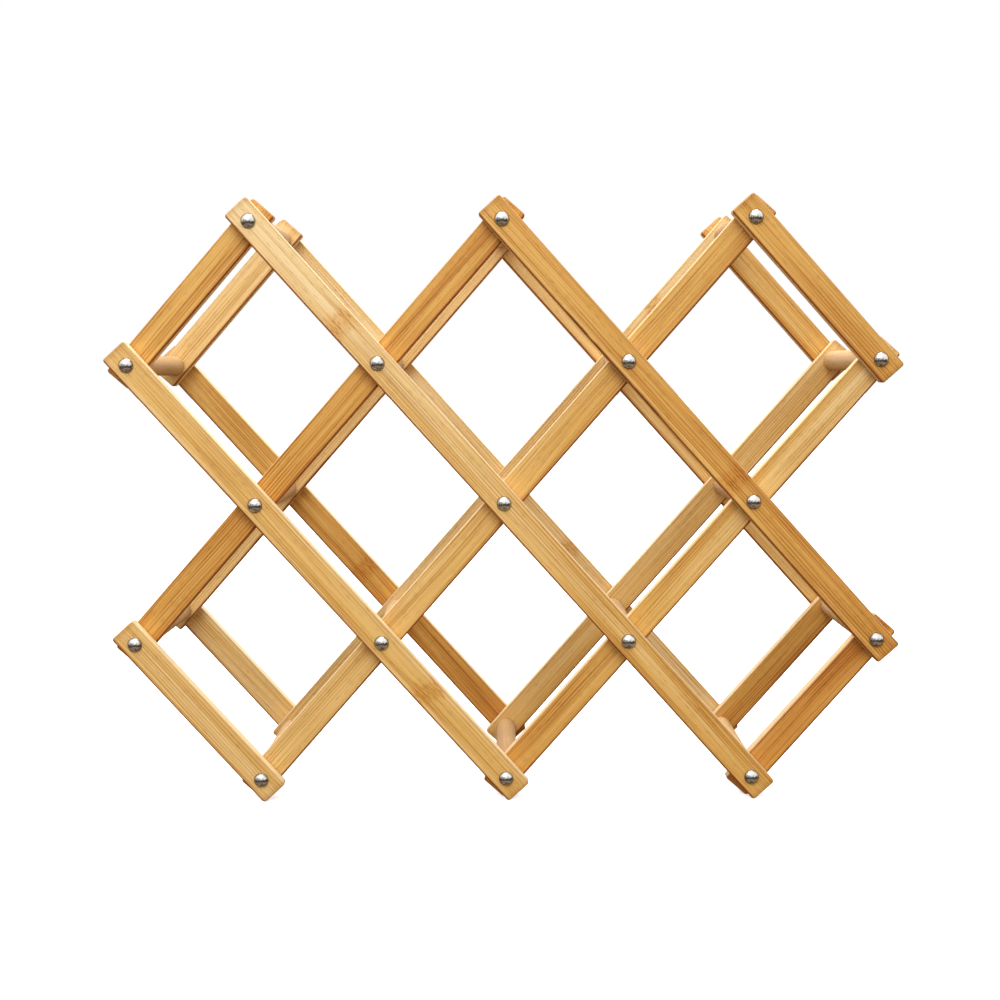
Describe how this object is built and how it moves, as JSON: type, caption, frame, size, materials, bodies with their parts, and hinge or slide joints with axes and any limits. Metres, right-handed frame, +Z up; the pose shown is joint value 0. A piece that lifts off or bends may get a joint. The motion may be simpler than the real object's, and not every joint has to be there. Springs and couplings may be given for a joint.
{
  "type": "wine rack",
  "caption": "Folding lattice rack of crossed bamboo slats with round dowel spacers and domed metal pivot pins; it stands on its slat ends and holds wine bottles lying down.",
  "frame": {"origin": "on the floor under the middle of the rack, at the bottom centre of its bounding box", "axes": "+X to the right along the width, +Y from the front face to the rear face, +Z up"},
  "size_m": [0.4436, 0.139, 0.3398],
  "materials": {
    "bamboo": "sanded bamboo strip under a thin clear satin lacquer",
    "dowel_wood": "sanded pale beech, unlacquered",
    "pin_metal": "polished nickel plate on steel"
  },
  "bodies": {
    "standing_crossing": {"spacer_dowel_r5c2": "dowel_wood", "pivot_pins_r5c2": "pin_metal"},
    "falling_line_1": {"front_falling_slat_1": "bamboo", "rear_falling_slat_1": "bamboo", "spacer_dowel_r4c1": "dowel_wood", "pivot_pins_r4c1": "pin_metal", "spacer_dowel_r5c1": "dowel_wood", "pivot_pins_r5c1": "pin_metal"},
    "falling_line_2": {"front_falling_slat_2": "bamboo", "rear_falling_slat_2": "bamboo", "spacer_dowel_r2c1": "dowel_wood", "pivot_pins_r2c1": "pin_metal", "spacer_dowel_r3c1": "dowel_wood", "pivot_pins_r3c1": "pin_metal", "spacer_dowel_r4c2": "dowel_wood", "pivot_pins_r4c2": "pin_metal"},
    "falling_line_3": {"front_falling_slat_3": "bamboo", "rear_falling_slat_3": "bamboo", "spacer_dowel_r1c1": "dowel_wood", "pivot_pins_r1c1": "pin_metal", "spacer_dowel_r2c2": "dowel_wood", "pivot_pins_r2c2": "pin_metal", "spacer_dowel_r3c2": "dowel_wood", "pivot_pins_r3c2": "pin_metal", "spacer_dowel_r4c3": "dowel_wood", "pivot_pins_r4c3": "pin_metal", "spacer_dowel_r5c3": "dowel_wood", "pivot_pins_r5c3": "pin_metal"},
    "falling_line_4": {"front_falling_slat_4": "bamboo", "rear_falling_slat_4": "bamboo", "spacer_dowel_r1c2": "dowel_wood", "pivot_pins_r1c2": "pin_metal", "spacer_dowel_r2c3": "dowel_wood", "pivot_pins_r2c3": "pin_metal", "spacer_dowel_r3c3": "dowel_wood", "pivot_pins_r3c3": "pin_metal", "spacer_dowel_r4c4": "dowel_wood", "pivot_pins_r4c4": "pin_metal"},
    "falling_line_5": {"front_falling_slat_5": "bamboo", "rear_falling_slat_5": "bamboo", "spacer_dowel_r1c3": "dowel_wood", "pivot_pins_r1c3": "pin_metal", "spacer_dowel_r2c4": "dowel_wood", "pivot_pins_r2c4": "pin_metal"},
    "rising_line_1": {"front_rising_slat_1": "bamboo", "rear_rising_slat_1": "bamboo"},
    "rising_line_2": {"front_rising_slat_2": "bamboo", "rear_rising_slat_2": "bamboo"},
    "rising_line_3": {"front_rising_slat_3": "bamboo", "rear_rising_slat_3": "bamboo"},
    "rising_line_4": {"front_rising_slat_4": "bamboo", "rear_rising_slat_4": "bamboo"},
    "rising_line_5": {"front_rising_slat_5": "bamboo", "rear_rising_slat_5": "bamboo"}
  },
  "joints": [
    {"name": "fold", "type": "hinge", "parent": "standing_crossing", "child": "falling_line_2", "pos_m": [0, 0, 0.01288], "axis": [0, 1, 0], "range_deg": [-43.8, 37]},
    {"name": "rising_line_4_turn", "type": "hinge", "parent": "standing_crossing", "child": "rising_line_4", "pos_m": [0, 0, 0.01288], "axis": [0, 1, 0], "range_deg": [-37, 43.8]},
    {"name": "rising_line_1_turn", "type": "hinge", "parent": "falling_line_2", "child": "rising_line_1", "pos_m": [-0.20914, 0, 0.24843], "axis": [0, 1, 0], "range_deg": [-74, 87.6]},
    {"name": "rising_line_2_turn", "type": "hinge", "parent": "falling_line_2", "child": "rising_line_2", "pos_m": [-0.13942, 0, 0.16992], "axis": [0, 1, 0], "range_deg": [-74, 87.6]},
    {"name": "rising_line_3_turn", "type": "hinge", "parent": "falling_line_2", "child": "rising_line_3", "pos_m": [-0.06971, 0, 0.0914], "axis": [0, 1, 0], "range_deg": [-74, 87.6]},
    {"name": "falling_line_3_turn", "type": "hinge", "parent": "rising_line_4", "child": "falling_line_3", "pos_m": [0.06971, 0, 0.0914], "axis": [0, 1, 0], "range_deg": [-87.6, 74]},
    {"name": "falling_line_4_turn", "type": "hinge", "parent": "rising_line_4", "child": "falling_line_4", "pos_m": [0.13942, 0, 0.16992], "axis": [0, 1, 0], "range_deg": [-87.6, 74]},
    {"name": "falling_line_5_turn", "type": "hinge", "parent": "rising_line_4", "child": "falling_line_5", "pos_m": [0.20914, 0, 0.24843], "axis": [0, 1, 0], "range_deg": [-87.6, 74]},
    {"name": "falling_line_1_turn", "type": "hinge", "parent": "rising_line_3", "child": "falling_line_1", "pos_m": [-0.13942, 0, 0.01288], "axis": [0, 1, 0], "range_deg": [-87.6, 74]},
    {"name": "rising_line_5_turn", "type": "hinge", "parent": "falling_line_3", "child": "rising_line_5", "pos_m": [0.13942, 0, 0.01288], "axis": [0, 1, 0], "range_deg": [-74, 87.6]}
  ],
  "couplings": [
    {"joint": "rising_line_4_turn", "follows": "fold", "ratio": -1},
    {"joint": "rising_line_1_turn", "follows": "fold", "ratio": -2},
    {"joint": "rising_line_2_turn", "follows": "fold", "ratio": -2},
    {"joint": "rising_line_3_turn", "follows": "fold", "ratio": -2},
    {"joint": "falling_line_3_turn", "follows": "fold", "ratio": 2},
    {"joint": "falling_line_4_turn", "follows": "fold", "ratio": 2},
    {"joint": "falling_line_5_turn", "follows": "fold", "ratio": 2},
    {"joint": "falling_line_1_turn", "follows": "fold", "ratio": 2},
    {"joint": "rising_line_5_turn", "follows": "fold", "ratio": -2}
  ]
}
